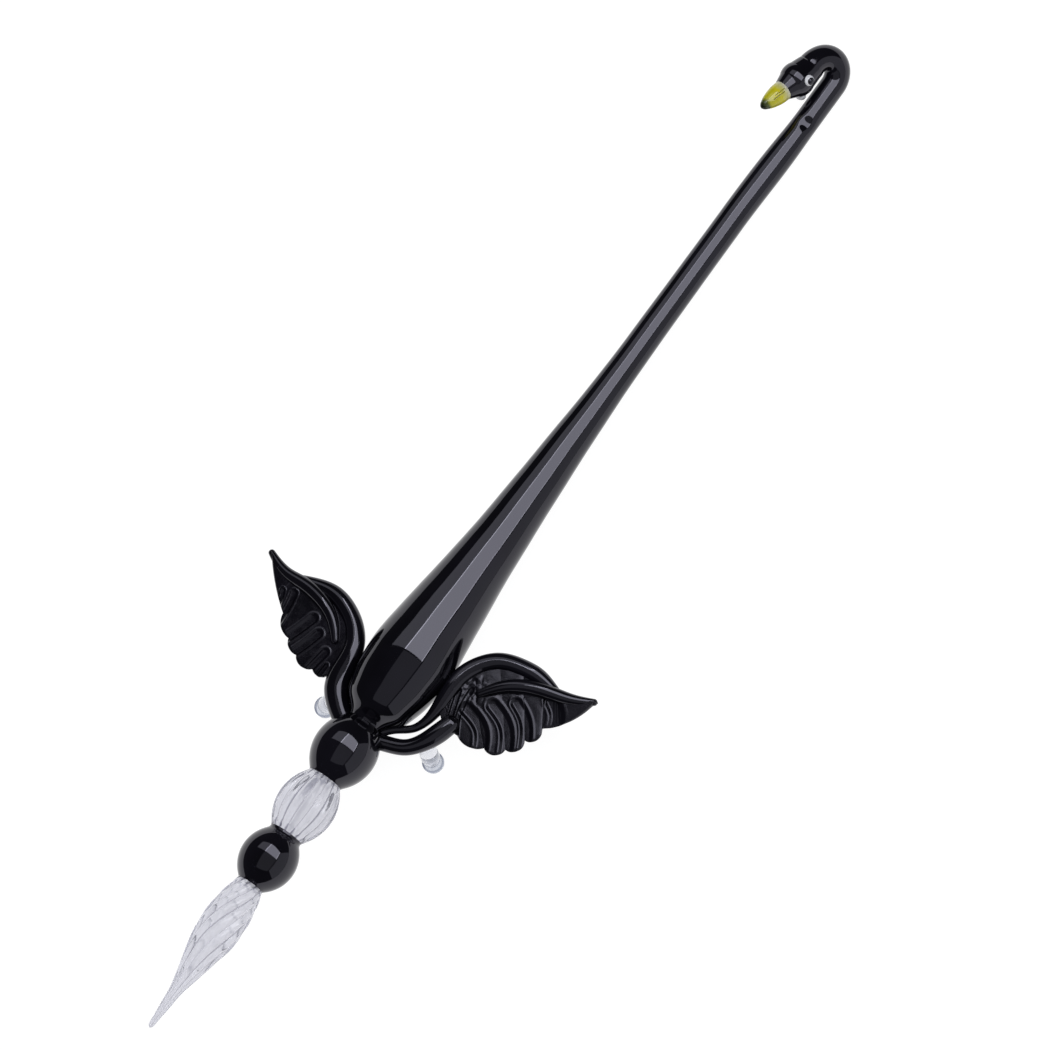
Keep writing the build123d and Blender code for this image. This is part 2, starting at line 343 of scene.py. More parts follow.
def clear_glass(name, color, shade_line_color, clearness, stretch):
    """Milky clear glass. Its painted shade lines lie where the shade line attribute of the mesh is high.
    """
    material, tree, shader = new_material(name, color, roughness=0.02, ior=1.1)
    shader.inputs["Transmission Weight"].default_value = clearness
    shader.inputs["Coat Weight"].default_value = 0.6
    shader.inputs["Coat Roughness"].default_value = 0.03
    streaks = pen_noise(tree, stretch, scale=1400, detail=2)
    waves = pen_noise(tree, stretch, scale=420, detail=1)
    # Painted shade lines: the base colour darkens where the attribute is high
    shade_lines = attribute_with_noise(tree, SHADE_LINE_ATTRIBUTE, streaks, amount=0.5)
    add_ramp(tree, shader, shade_lines.outputs["Value"], [(0.26, color), (1.0, shade_line_color)])
    add_roughness(tree, shader, streaks, low=0.02, high=0.12)
    add_bumps(tree, shader, [(waves, 0.4, 0.0003), (streaks, 0.25, 0.00008)])
    return material


# Tones along the beak, from its root. The pale first tone at the root is a painted highlight.
# The values are its length attribute with noise added, so the last one lies past the beak's end,
# and its slits take that darkest tone.
BEAK_DARKEST = 1.1
BEAK_TONES = [
    (0.12, (0.86, 0.85, 0.70)), (0.26, (0.80, 0.76, 0.26)), (0.42, (0.78, 0.70, 0.02)),
    (0.86, (0.66, 0.62, 0.02)), (0.98, (0.10, 0.13, 0.02)), (BEAK_DARKEST, (0.01, 0.015, 0.006)),
]


def yellow_glass():
    """Yellow glass with a pale painted highlight at the beak's root, and dark green at its tip."""
    material, tree, shader = new_material("yellow_glass", (0.85, 0.78, 0.05), roughness=0.04)
    shader.inputs["Transmission Weight"].default_value = 0.25
    streaks = pen_noise(tree, stretch=3, scale=900, detail=2)
    cloud = attribute_with_noise(tree, BEAK_ATTRIBUTE, streaks, amount=0.3)
    scale = tree.nodes.new("ShaderNodeMath")
    scale.operation = "DIVIDE"
    scale.inputs[1].default_value = BEAK_DARKEST
    tree.links.new(cloud.outputs["Value"], scale.inputs[0])
    stops = [(value / BEAK_DARKEST, color) for value, color in BEAK_TONES]
    add_ramp(tree, shader, scale.outputs["Value"], stops)
    add_roughness(tree, shader, streaks, low=0.03, high=0.12)
    add_bumps(tree, shader, [(streaks, 0.3, 0.0001)])
    return material


def white_glass():
    """Opaque white glass."""
    material, tree, shader = new_material("white_glass", (0.85, 0.85, 0.88), roughness=0.08)
    clouds = pen_noise(tree, stretch=1, scale=700, detail=2)
    add_color(tree, shader, clouds, dark=(0.78, 0.78, 0.83), light=(0.9, 0.9, 0.92))
    add_roughness(tree, shader, clouds, low=0.05, high=0.12)
    add_bumps(tree, shader, [(clouds, 0.1, 0.00005)])
    return material


BODY_GLASS = black_glass("black_glass_drawn", ripple=0.10, stretch=14)
KNOB_GLASS = black_glass("black_glass_turned", ripple=0.06, stretch=1)
WING_GLASS = black_glass("black_glass_rolled", ripple=0.10, stretch=1, roughness=(0.05, 0.11))
BLADE_GLASS = black_glass(
    "black_glass_pressed", ripple=0.12, stretch=1, roughness=(0.14, 0.24), ior=1.42,
)
# Clear glasses, each with the colour of its painted shade lines
NIB_GLASS = clear_glass(
    "clear_glass_nib", (0.885, 0.885, 0.95), shade_line_color=(0.22, 0.22, 0.28), clearness=0.72, stretch=8,
)
BEAD_GLASS = clear_glass(
    "clear_glass_bead", (0.865, 0.865, 0.93), shade_line_color=(0.16, 0.16, 0.22), clearness=0.72, stretch=12,
)
LEG_GLASS = clear_glass(
    "clear_glass_legs", (0.90, 0.91, 0.96), shade_line_color=(0.30, 0.32, 0.40), clearness=0.88, stretch=1,
)
FOOT_GLASS = clear_glass(
    "clear_glass_feet", (0.83, 0.86, 0.93), shade_line_color=(0.30, 0.33, 0.42), clearness=0.70, stretch=1,
)
YELLOW = yellow_glass()
WHITE = white_glass()
PUPIL = black_glass("black_glass_pupil", ripple=0.02, stretch=1)


def place(piece, node_names, material, slot):
    """Gives a piece its material and body, and hides the CAD nodes that it stands for. Its slot is not
    used.
    """
    piece.data.materials.append(material)
    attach(piece, "root")
    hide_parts(*node_names)


# ---------------------------------------------------------------------------------------------
# Nib, balls and bead
# ---------------------------------------------------------------------------------------------
NIB_OUTLINE = [
    (0.0, 0.3), (0.4, 0.42), (1.6, 0.55), (4.8, 0.86), (6.4, 0.99), (9.5, 1.6), (14.3, 2.78),
    (17.0, 3.36), (19.1, 3.52), (22.3, 3.4), (25.0, 2.95), (NIB_END, 2.3),
]

# Rounding of the point, in radii of its tip, and where the flutes start and reach full depth
NIB_POINT_LENGTH = 1.4
NIB_FLUTES = 11
NIB_FLUTE_DEPTH = 0.13
NIB_FLUTE_START = (0.3, 3.0)
NIB_TWIST = math.radians(115)
NIB_RINGS = 260
POINTS_TO_A_NIB_FLUTE = 18

# Painted shade lines at the valleys between flutes, for the dark streaks that the clear glass refracts:
# sharpness close to an end and how much is added away from it, then how the lines vary in strength
# from one valley to the next
LINE_SHARPNESS = 1.6
LINE_SHARPENING = 5
LINE_END_REACH = (0.2, 1.8)
LINE_STRENGTH = 0.6
LINE_VARIATION = 0.4
LINE_STEP = 2.4


def flute_shade_lines(flutes, angle, from_end):
    """How dark the painted shade in the valley between two flutes is. Some are fainter, and all widen
    close to the ends.
    """
    sharpness = LINE_SHARPNESS + LINE_SHARPENING * smoothstep(*LINE_END_REACH, from_end)
    valley = (1 - np.abs(np.cos(flutes / 2 * angle))) ** sharpness
    number = np.floor(flutes * angle / (2 * math.pi)) % flutes
    strength = LINE_STRENGTH + LINE_VARIATION * np.sin(LINE_STEP * number)
    return valley * np.where(from_end < 1, 1, strength)


def nib_turn(places):
    """How far the nib's flutes have turned at the places. Most of the twist is near its base."""
    return NIB_TWIST * (places / NIB_END) ** 3


def make_nib():
    """Nib: round ridges with sharp valleys, nearly straight at the point and twisted behind."""
    places = np.linspace(0.0, NIB_END, NIB_RINGS)
    radii = cubic(*zip(*NIB_OUTLINE), places)
    radii = radii * quarter_round(places / (radii[0] * NIB_POINT_LENGTH), 0.02)

    def flutes(place, angle):
        depth = NIB_FLUTE_DEPTH * smoothstep(*NIB_FLUTE_START, place)
        return 1 - depth * (1 - np.abs(np.cos(NIB_FLUTES / 2 * (angle - nib_turn(place)))))

    around = NIB_FLUTES * POINTS_TO_A_NIB_FLUTE
    nib = skin("nib_glass", turned_rings(places, radii, around, flutes))
    places = places[:, None]
    # Painted shade along the flute valleys, for the dark streaks that the glass refracts
    shade_lines = flute_shade_lines(NIB_FLUTES, angles_around(around) - nib_turn(places), NIB_END - places)
    write_values(nib, SHADE_LINE_ATTRIBUTE, shade_lines)
    place(nib, ["nib"], NIB_GLASS, "clear_glass")


JOINT_SOFTNESS = 0.28


def barrel_radii(places, ends, middle_radius, joint_radii):
    """Radii of a round knob, with a soft fillet where it meets its neighbours."""
    start, end = ends
    half = (end - start) / 2
    middle = (start + end) / 2
    sag = middle_radius - min(joint_radii)
    arc_radius = (half**2 + sag**2) / (2 * sag)
    arc = middle_radius - arc_radius + np.sqrt(np.maximum(arc_radius**2 - (places - middle) ** 2, 0))
    joint = np.where(places < middle, joint_radii[0], joint_radii[1])
    return (arc + joint + np.sqrt((arc - joint) ** 2 + JOINT_SOFTNESS**2)) / 2


# Where each knob starts and ends, its middle radius, its radii at the joints and its flutes
KNOBS = {
    "small_ball": (NIB_END, SMALL_BALL_END, 4.62, (2.1, 2.75), 0),
    "fluted_bead": (SMALL_BALL_END, BEAD_END, 4.78, (2.75, 2.85), 17),
    "large_ball": (BEAD_END, WAIST, 5.2, (2.85, 2.72), 0),
}
KNOB_RINGS = 120
BALL_AROUND = 120
POINTS_TO_A_BEAD_FLUTE = 12
BEAD_FLUTE_DEPTH = 0.1
BEAD_FLUTE_START = (0.3, 1.4)
BEAD_FLUTE_ROUNDNESS = 0.8


def make_knobs():
    """The two balls and the fluted bead between them."""
    for name, (start, end, radius, joints, flutes) in KNOBS.items():
        places = np.linspace(start, end, KNOB_RINGS)
        radii = barrel_radii(places, (start, end), radius, joints)
        around = flutes * POINTS_TO_A_BEAD_FLUTE if flutes else BALL_AROUND

        def cut(place, angle):
            if not flutes:
                return np.ones(len(angle))
            along = min(place - start, end - place)
            depth = BEAD_FLUTE_DEPTH * smoothstep(*BEAD_FLUTE_START, along)
            return 1 - depth * (1 - np.abs(np.cos(flutes / 2 * angle)) ** BEAD_FLUTE_ROUNDNESS)

        knob = skin(name + "_glass", turned_rings(places, radii, around, cut))
        if flutes:
            # Painted shade along the flute valleys, for the dark streaks that the glass refracts
            from_end = np.minimum(places - start, end - places)[:, None]
            shade_lines = flute_shade_lines(flutes, angles_around(around)[None, :], from_end)
            write_values(knob, SHADE_LINE_ATTRIBUTE, shade_lines)
            place(knob, [name], BEAD_GLASS, "clear_glass")
        else:
            place(knob, [name], KNOB_GLASS, "black_glass")


# ---------------------------------------------------------------------------------------------
# Body, neck, hook, head
# ---------------------------------------------------------------------------------------------
BODY_OUTLINE = [
    (58.2, 2.3), (59.3, 2.95), (61.2, 4.85), (63.0, 5.66), (65.3, 6.34), (68.0, 6.74), (71.2, 6.94),
    (76.3, 6.53), (82.7, 5.79), (89.0, 5.05), (95.4, 4.45), (104.9, 3.76), (114.5, 3.16), (127.2, 2.54),
    (136.7, 2.38), (150.0, 2.28), (NECK_END, 2.25),
]
WAIST_RADIUS = 2.72
WAIST_SOFTNESS = 0.3
WAIST_FILLET_END = 61
BODY_RINGS = 420
BODY_AROUND = 128

# Unevenness from drawing: size as a share of the radius, radians to a millimetre, and start
DRAW_WAVES = ((0.006, 0.21, 0), (0.004, 0.53, 1))
DRAW_TURN = 0.03
DRAW_RIPPLE = (0.0007, 1.7)

# Last stretch of the neck: places and radii, and the slight bend to the right that it makes
NECK_STATIONS = [
    (NECK_END, 2.25), (163.0, 2.28), (168.0, 2.29), (172.5, 2.2), (176.0, 2.08), (179.0, 2.05),
]
BEND_END = 179.0
BEND_SHIFT = 0.43

# Half turn at the end of the neck, which leans over to the left as it rises
ARCH_RADIUS = 2.6
ARCH_REACH = 3.15
ARCH_START = 184.65
ARCH_TILT = math.radians(45)
HOOK_RADIUS = 2.06

# Dent in the neck: its place, half its length, its depth, and the side of the neck that it is on
DENT = (176.9, 1.1, 0.26)
DENT_WAY = (0, -0.35, 0.94)
DENT_NARROWNESS = 6


def make_body():
    """Body and neck in one draw, with the slight unevenness of hand drawing."""
    places = np.linspace(WAIST, NECK_END, BODY_RINGS)
    radii = cubic(*zip(*BODY_OUTLINE), places)
    apart = np.sqrt((radii - WAIST_RADIUS) ** 2 + WAIST_SOFTNESS**2)
    fillet = (radii + WAIST_RADIUS + apart) / 2
    radii = np.where(places < WAIST_FILLET_END, fillet, radii)
    ripple_size, ripple_pace = DRAW_RIPPLE

    def draw_marks(place, angle):
        slow = sum(size * math.sin(place * pace + start) for size, pace, start in DRAW_WAVES)
        ripple = ripple_size * math.sin(place * ripple_pace)
        return 1 + slow * np.cos(angle - place * DRAW_TURN) + ripple

    body = skin("body_glass", turned_rings(places, radii, BODY_AROUND, draw_marks), PEN @ LEAN)
    place(body, ["body_and_neck"], BODY_GLASS, "black_glass")


def arch_point(along, side):
    """Point of the hook, from its place along the pen and its distance to the side of the neck."""
    return np.array([along, side * math.cos(ARCH_TILT) - BEND_SHIFT, side * math.sin(ARCH_TILT)])


HEAD_RADIUS = 2.85
HEAD_CENTRE = np.array([181.7, 3.73, 3.95])

# Share of the way from the arch to the head's centre that the hook reaches. Its radii go by the
# turn made so far in radians, and past the half turn by that share added to it.
HOOK_END = 0.7
HOOK_WIDENING = [
    (0, HOOK_RADIUS), (1.6, HOOK_RADIUS), (2.5, 2.1), (3.14, 2.26), (3.5, 2.47), (3.84, 2.66),
]
NECK_RINGS = 240
ARCH_RINGS = 60
WIDENING_RINGS = 15
HOOK_AROUND = 96


def make_hook():
    """Bent end of the neck, its half turn, and the stretch that widens into the head."""
    places = np.linspace(NECK_END, ARCH_START, NECK_RINGS, endpoint=False)
    path = [(x, -BEND_SHIFT * smoothstep(NECK_END, BEND_END, x), 0) for x in places]
    radii = list(cubic(*zip(*NECK_STATIONS, (ARCH_START, HOOK_RADIUS)), places))
    turns = np.linspace(0, math.pi, ARCH_RINGS)
    for turn in turns:
        side = ARCH_RADIUS * (1 - math.cos(turn))
        path.append(arch_point(ARCH_START + ARCH_REACH * math.sin(turn), side))
    end = path[-1]
    shares = np.linspace(0, HOOK_END, WIDENING_RINGS + 1)[1:]
    path += [end + (HEAD_CENTRE - end) * share for share in shares]
    radii += list(cubic(*zip(*HOOK_WIDENING), np.append(turns, math.pi + shares)))
    up = (0, -math.sin(ARCH_TILT), math.cos(ARCH_TILT))
    rings = dented(np.array(tube_rings(path, radii, HOOK_AROUND, up)))
    place(skin("hook_glass", rings, PEN @ LEAN), ["neck_hook"], BODY_GLASS, "black_glass")


def dented(rings):
    """Rings of the hook with the dent pressed into their first stretch, which is the neck."""
    centres = rings.mean(axis=1, keepdims=True)
    outward = (rings - centres) / np.linalg.norm(rings - centres, axis=2, keepdims=True)
    middle, half_length, depth = DENT
    facing = np.clip(outward @ np.array(DENT_WAY), 0, 1) ** DENT_NARROWNESS
    along = np.exp(-(((centres[..., 0] - middle) / half_length) ** 2))
    along[NECK_RINGS:] = 0
    return rings - outward * (depth * facing * along)[..., None]


# The head's face narrows from its ball to the beak's root
FACE_LENGTHS = (0, 1.6, 3.2)
FACE_RADII = (0, 2.35, 1.72)
LEAST_RADIUS = 0.05
HEAD_RINGS = 70
HEAD_AROUND = 72
BEAK_PITCH = math.radians(20)
BEAK_YAW = math.radians(9)
BEAK_WAY = np.array([
    -math.cos(BEAK_YAW) * math.cos(BEAK_PITCH),
    math.sin(BEAK_YAW) * math.cos(BEAK_PITCH),
    math.sin(BEAK_PITCH),
])
BEAK_START = FACE_LENGTHS[-1]


def straight_path(start, way, lengths):
    """Points along a straight way from a start."""
    return [np.asarray(start) + np.asarray(way) * length for length in lengths]


def make_head():
    """Round head that narrows to the root of the beak."""
    lengths = np.linspace(-HEAD_RADIUS, BEAK_START, HEAD_RINGS)
    radii = []
    for length in lengths:
        ball_radius = math.sqrt(max(HEAD_RADIUS**2 - length**2, 0))
        face_radius = np.interp(length, FACE_LENGTHS, FACE_RADII)
        radii.append(max(ball_radius, face_radius, LEAST_RADIUS))
    path = straight_path(HEAD_CENTRE, BEAK_WAY, lengths)
    head = skin("head_glass", tube_rings(path, radii, HEAD_AROUND), PEN @ LEAN)
    place(head, ["head"], KNOB_GLASS, "black_glass")


BEAK_LENGTH = 4.95
BEAK_PLACES = (0, 1.5, 2.6, 3.6, 4.2, BEAK_LENGTH)
BEAK_RADII = (1.68, 1.62, 1.4, 1.08, 0.8, 0.45)
BEAK_TIP_LENGTH = 0.6
BEAK_RINGS = 120
BEAK_AROUND = 240

# Slits along the beak's sides: angle in degrees, then start and end as shares of its length
BEAK_SLITS = ((74, 0.04, 0.52), (60, 0.1, 0.66))
SLIT_DEGREES = 2.2
SLIT_DEPTH = 0.06
SLIT_START_FADE = 0.05
SLIT_END_FADE = 0.1


def beak_slits(share):
    """How deep the slits are over the beak, from 0 to 1, by rings at shares of its length."""
    angle = np.degrees(angles_around(BEAK_AROUND))
    slit = np.zeros((len(share), BEAK_AROUND))
    for at, start, end in BEAK_SLITS:
        for line in (at, at - 180):
            away = np.abs((angle - line + 180) % 360 - 180)[None, :]
            begun = smoothstep(start, start + SLIT_START_FADE, share)
            ended = smoothstep(end - SLIT_END_FADE, end, share)
            slit = np.maximum(slit, begun * (1 - ended) * np.exp(-(away / SLIT_DEGREES) ** 2))
    return slit


def make_beak():
    """Bullet-shaped beak with a round tip and two fine slits along each side."""
    places = np.linspace(0, BEAK_LENGTH, BEAK_RINGS)
    radii = cubic(BEAK_PLACES, BEAK_RADII, places)
    radii = radii * quarter_round((BEAK_LENGTH - places) / BEAK_TIP_LENGTH, 0.01)
    path = straight_path(HEAD_CENTRE, BEAK_WAY, places + BEAK_START)
    rings = np.array(tube_rings(path, radii, BEAK_AROUND))
    centres = rings.mean(axis=1, keepdims=True)
    share = places[:, None] / BEAK_LENGTH
    slit = beak_slits(share)
    rings = centres + (rings - centres) * (1 - SLIT_DEPTH * slit[..., None])
    beak = skin("beak_glass", rings, PEN @ LEAN)
    write_values(beak, BEAK_ATTRIBUTE, np.maximum(share, BEAK_DARKEST * smoothstep(0.3, 0.7, slit)))
    place(beak, ["beak"], YELLOW, "yellow_glass")


# Eyes: the ways from the head's centre to the white dot, and from that dot to its pupil
EYE_REACH = 2.6
EYE_RADIUS = 0.9
PUPIL_REACH = 0.32
PUPIL_RADIUS = 0.7
DOT_RINGS = 40
DOT_AROUND = 48
POLE_SHARE = 0.02
EYES = {
    "left": ((0.2, -0.79, 0.58), (0.0, -0.8, 0.6)),
    "right": ((-0.55, -0.55, -0.63), (-0.1, -0.6, -0.79)),
}


def ball(name, centre, way, radius):
    """Ball whose poles lie along a way."""
    turn = np.linspace(0, math.pi, DOT_RINGS)
    path = straight_path(centre, way, -radius * np.cos(turn))
    radii = radius * np.maximum(np.sin(turn), POLE_SHARE)
    return skin(name, tube_rings(path, radii, DOT_AROUND, up=(0.3, 0.5, 0.8)), PEN @ LEAN)


def make_eyes():
    """White dots with black pupils, one on each side of the head."""
    for side, (way, gaze) in EYES.items():
        way = np.array(way) / np.linalg.norm(way)
        gaze = np.array(gaze) / np.linalg.norm(gaze)
        centre = HEAD_CENTRE + way * EYE_REACH
        white = ball(side + "_eye_dot", centre, way, EYE_RADIUS)
        pupil = ball(side + "_pupil_dot", centre + gaze * PUPIL_REACH, gaze, PUPIL_RADIUS)
        place(white, [side + "_eye_white"], WHITE, "white_glass")
        place(pupil, [side + "_pupil"], PUPIL, "pupil_glass")


# ---------------------------------------------------------------------------------------------
# Wings, seen from above. The spine is the middle of the cane that leaves the body and, from its
# joint on, is rolled along the front of the wing. The fold is the second ridge, which runs to the
# wing's tip. Feathers are the round ends of the blade, and notches are the shares of its front
# that they start and end at. Each groove has its line and its half width.
# ---------------------------------------------------------------------------------------------
WINGS = {
    "left": {
        "spine": [
            (56.9, 2.0), (58.0, 3.9), (59.5, 5.8), (61.6, 7.4), (65.0, 8.0), (68.5, 8.7), (70.8, 10.4),
            (72.5, 13.0), (73.4, 16.0), (73.1, 19.6), (72.5, 22.6),
        ],
        "spine_radii": [1.6, 1.75, 1.9, 2.0, 1.8, 1.6, 1.5, 1.5, 1.45, 1.1, 0.6],
        "spine_heights": [-1.2, -1.1, -0.9, -0.7, -0.2, 0.1, 0.1, 0.0, 0.0, 0.0, 0.0],
        "fold": [(66.7, 11.2), (69.9, 14.0), (71.5, 17.4), (72.1, 21.0), (72.2, 24.3), (73.9, 28.9)],
        "fold_radii": [0.6, 1.0, 1.15, 1.15, 0.95, 0.5],
        "feathers": [
            ((73.7, 28.5), (70.1, 25.4), (66.6, 21.4)), ((66.6, 21.4), (64.6, 20.4), (63.7, 18.3)),
            ((63.7, 18.3), (62.4, 17.3), (62.1, 15.7)), ((62.1, 15.7), (61.0, 14.2), (61.6, 12.2)),
            ((61.6, 12.2), (61.1, 11.2), (61.4, 9.9)),
        ],
        "notches": [1.0, 0.72, 0.52, 0.4, 0.2, 0.0],
        "inner_edge": [(61.4, 9.9), (62.7, 9.0), (65.0, 8.0)],
        "grooves": [
            ([(70.0, 21.6), (68.3, 21.3), (65.1, 21.1)], 0.7),
            ([(69.5, 23.4), (67.7, 22.8), (65.6, 22.6)], 0.5),
            ([(68.3, 16.6), (66.6, 17.2), (61.6, 19.3)], 0.85),
            ([(66.7, 14.5), (64.5, 15.2), (60.4, 17.0)], 0.8),
            ([(64.8, 11.9), (62.7, 12.3), (58.9, 13.0)], 0.75),
            ([(63.2, 10.5), (62.1, 10.6), (58.9, 10.8)], 0.4),
        ],
        "wrinkled": None,
    },
    "right": {
        "spine": [
            (58.7, -2.7), (60.6, -4.6), (62.15, -6.75), (64.4, -7.95), (67.9, -8.3), (72.6, -8.4),
            (76.2, -9.9), (78.5, -12.3), (79.6, -15.8), (79.8, -18.8), (79.5, -21.0), (79.2, -23.0),
        ],
        "spine_radii": [0.65, 0.65, 0.65, 0.8, 1.2, 1.5, 1.5, 1.5, 1.45, 1.35, 1.05, 0.6],
        "spine_heights": [-0.6, -0.5, -0.4, -0.2, 0.0, 0.0, 0.0, 0.0, 0.0, 0.0, 0.0, 0.0],
        "fold": [(71.9, -12.2), (75.3, -15.2), (77.5, -18.8), (78.6, -22.3), (79.5, -25.3), (81.4, -29.0)],
        "fold_radii": [0.6, 1.0, 1.15, 1.15, 0.95, 0.5],
        "feathers": [
            ((81.1, -28.7), (77.0, -27.3), (73.2, -23.9)), ((73.2, -23.9), (71.4, -24.4), (70.2, -22.7)),
            ((70.2, -22.7), (68.2, -22.8), (67.3, -21.0)), ((67.3, -21.0), (65.6, -20.1), (65.7, -18.0)),
            ((65.7, -18.0), (64.6, -16.3), (65.1, -13.3)),
        ],
        "notches": [1.0, 0.72, 0.56, 0.42, 0.25, 0.0],
        "inner_edge": [(65.1, -13.3), (65.5, -10.2), (67.9, -8.3)],
        "grooves": [
            ([(77.7, -22.8), (76.5, -24.5), (71.3, -25.9)], 1.3),
            ([(74.3, -18.4), (72.9, -20.9), (68.8, -23.6)], 1.0),
            ([(72.0, -15.4), (70.5, -18.8), (65.8, -21.8)], 1.15),
            ([(69.3, -12.2), (67.8, -16.0), (63.8, -18.2)], 1.2),
            ([(71.1, -9.6), (67.7, -10.6), (63.8, -12.0)], 0.5),
            ([(72.3, -11.2), (68.3, -11.6), (63.8, -14.0)], 0.45),
        ],
        "wrinkled": (72.7, -11.6),
    },
}
SPINE_JOINT = 4
OUTER_STEM = [(57.3, -2.2), (58.1, -4.9), (59.15, -7.5), (60.9, -9.25), (63.6, -10.7), (67.4, -11.9)]
OUTER_STEM_RADII = [1.3, 1.3, 1.3, 1.4, 1.6, 1.4]
OUTER_STEM_HEIGHTS = [-1.0, -0.9, -0.7, -0.4, -0.1, 0.0]
FOLD_HEIGHTS = (0.3, 0.75, 0.8, 0.55, 0.2, 0.0)
SPINE_RINGS = 240
CANE_RINGS = 120
CANE_AROUND = 48

# Blade: half its thickness, how far its top falls towards the feathers where it is at least
# FALL_LENGTH long, and the rounding of its edge
BLADE_HALF = 0.7
BLADE_FALL = 0.9
FALL_LENGTH = 6
EDGE_ROUNDING = 0.45
LINES_TO_A_FEATHER = 72
INNER_EDGE_LINES = 30

# Points across the blade: evenly over the flat, then closer and closer up to the edge
FLAT_SHARE = 0.94
FLAT_POINTS = 84
EDGE_POINTS = 16
ACROSS_BLADE = np.concatenate([
    np.linspace(0, FLAT_SHARE, FLAT_POINTS),
    FLAT_SHARE + (1 - FLAT_SHARE) * np.sin(np.linspace(0.1, math.pi / 2, EDGE_POINTS)),
])

# Grooves: their depth, their wall and their rim as shares of their half width, and the rim's
# height. Wrinkles: their height, how deep they dip as a share of it, how far they reach and the
# share of that where they are full, and how close together they are along and across the pen.
GROOVE_POINTS = 14
GROOVE_DEPTH = 0.33
GROOVE_WALL = (0.45, 1.05)
RIM_PLACE = 1.15
RIM_WIDTH = 0.2
RIM_HEIGHT = 0.05
WRINKLE_HEIGHT = 0.12
WRINKLE_DIP = 0.4
WRINKLE_REACH = 2.6
WRINKLE_FULL_SHARE = 0.5
WRINKLE_SCALE = (0.8, 1.1)


def chord_lengths(points):
    """Distance along a line of points at each of them."""
    steps = np.linalg.norm(np.diff(np.asarray(points, float), axis=0), axis=1)
    return np.concatenate([[0], np.cumsum(steps)])


def swept_cane(name, path, radii, rounded=(True, True)):
    """Round cane along a path of dense points."""
    spacing = chord_lengths(path)[-1] / (len(path) - 1)
    widths = rounded_ends(radii, spacing, *rounded)
    return skin(name, tube_rings(path, widths, CANE_AROUND))


def cane_path(points, radii, heights, count):
    """Dense points and radii on a smooth line through plan points, and the points' own shares."""
    chords = chord_lengths(points)
    along = np.linspace(0, chords[-1], count)
    solid = np.column_stack([np.asarray(points, float), heights])
    return cubic(chords, solid, along), cubic(chords, radii, along), chords / chords[-1]


def distance_to_line(points, line):
    """Distance of plan points to a broken line."""
    nearest = np.full(len(points), np.inf)
    for a, b in zip(line, line[1:]):
        a, b = np.asarray(a, float), np.asarray(b, float)
        share = np.clip((points - a) @ (b - a) / ((b - a) @ (b - a)), 0, 1)
        nearest = np.minimum(nearest, np.linalg.norm(points - a - share[:, None] * (b - a), axis=1))
    return nearest


def blade_relief(points, wing):
    """Height that pressing adds to the blade's top: round-ended grooves with rims, and wrinkles."""
    relief = np.zeros(len(points))
    for line, width in wing["grooves"]:
        away = distance_to_line(points, curve_through(line, GROOVE_POINTS)) / width
        relief -= GROOVE_DEPTH * (1 - smoothstep(*GROOVE_WALL, away))
        relief += RIM_HEIGHT * np.exp(-((away - RIM_PLACE) / RIM_WIDTH) ** 2)
    if wing["wrinkled"]:
        near = np.linalg.norm(points - np.array(wing["wrinkled"]), axis=1)
        fade = 1 - smoothstep(WRINKLE_FULL_SHARE * WRINKLE_REACH, WRINKLE_REACH, near)
        x_scale, y_scale = WRINKLE_SCALE
        ripple = [noise.noise(Vector((x * x_scale, y * y_scale, 0))) for x, y in points]
        relief += WRINKLE_HEIGHT * fade * (np.abs(ripple) * 2 - WRINKLE_DIP)
    return relief


def make_blade(side, wing, front_line):
    """Pressed blade of a wing, from its rolled front to the round ends of its feathers."""
    front = []
    back = []
    for feather, high, low in zip(wing["feathers"], wing["notches"], wing["notches"][1:]):
        share = np.linspace(high, low, LINES_TO_A_FEATHER)
        front.append(front_line[(share * (len(front_line) - 1)).astype(int)])
        back.append(arc_through(*feather, LINES_TO_A_FEATHER))
    inner = curve_through(wing["inner_edge"], INNER_EDGE_LINES)
    front.append(np.repeat(front_line[:1], len(inner), axis=0))
    back.append(inner)
    rings = []
    for start, end in zip(np.concatenate(front), np.concatenate(back)):
        length = np.linalg.norm(end - start)
        line = start + np.outer(ACROSS_BLADE, end - start)
        rounding = quarter_round((1 - ACROSS_BLADE) * length / EDGE_ROUNDING, 0.0004)
        fall = BLADE_FALL * ACROSS_BLADE * min(length / FALL_LENGTH, 1)
        top = BLADE_HALF - fall + blade_relief(line, wing)
        middle = (top - BLADE_HALF) / 2
        upper = np.column_stack([line, middle + (top - middle) * rounding])
        lower = np.column_stack([line, middle - (BLADE_HALF + middle) * rounding])[::-1]
        rings.append(np.concatenate([upper, lower[1:-1]]))
    blade = skin(side + "_wing_feathers", rings)
    place(blade, [side + "_wing_blade"], BLADE_GLASS, "black_glass")


